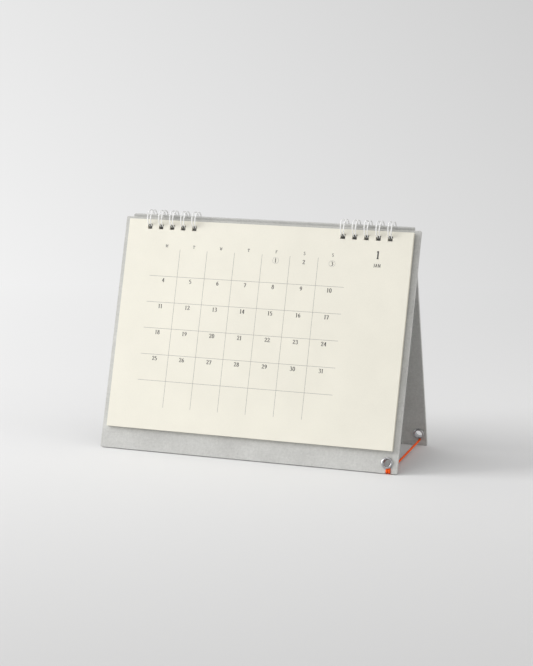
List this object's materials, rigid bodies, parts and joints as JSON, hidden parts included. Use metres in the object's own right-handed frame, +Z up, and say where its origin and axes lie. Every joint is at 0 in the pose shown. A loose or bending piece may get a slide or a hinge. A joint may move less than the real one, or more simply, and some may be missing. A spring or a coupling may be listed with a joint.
{
  "type": "desk calendar",
  "caption": "Easel desk calendar: two card boards and a block of month leaves on twin-loop wires, with an elastic cord between corner eyelets.",
  "frame": {"origin": "centre of the footprint, on the surface that the calendar stands on", "axes": "+Z up, +X along the boards' width to the reader's right, -Y towards the reader, whom the leaves face"},
  "size_m": [0.218, 0.0928, 0.1643],
  "materials": {
    "board": "uncoated grey chipboard",
    "stand_card": "uncoated grey chipboard",
    "leaves": "uncoated cream paper",
    "wire": "white coated steel wire",
    "eyelet": "nickel plate",
    "elastic": "braided elastic"
  },
  "bodies": {
    "front": {"front_board": "board", "page_block": "leaves", "ring_wire_left": "wire", "ring_wire_right": "wire", "front_eyelet": "eyelet", "cord": "elastic"},
    "stand": {"back_board": "stand_card", "back_eyelet": "eyelet"}
  },
  "joints": [
    {"name": "stand_fold", "type": "hinge", "parent": "front", "child": "stand", "pos_m": [0, 0.00123, 0.15795], "axis": [-1, 0, 0], "range_deg": [0, 30], "deforming": ["cord"]}
  ]
}
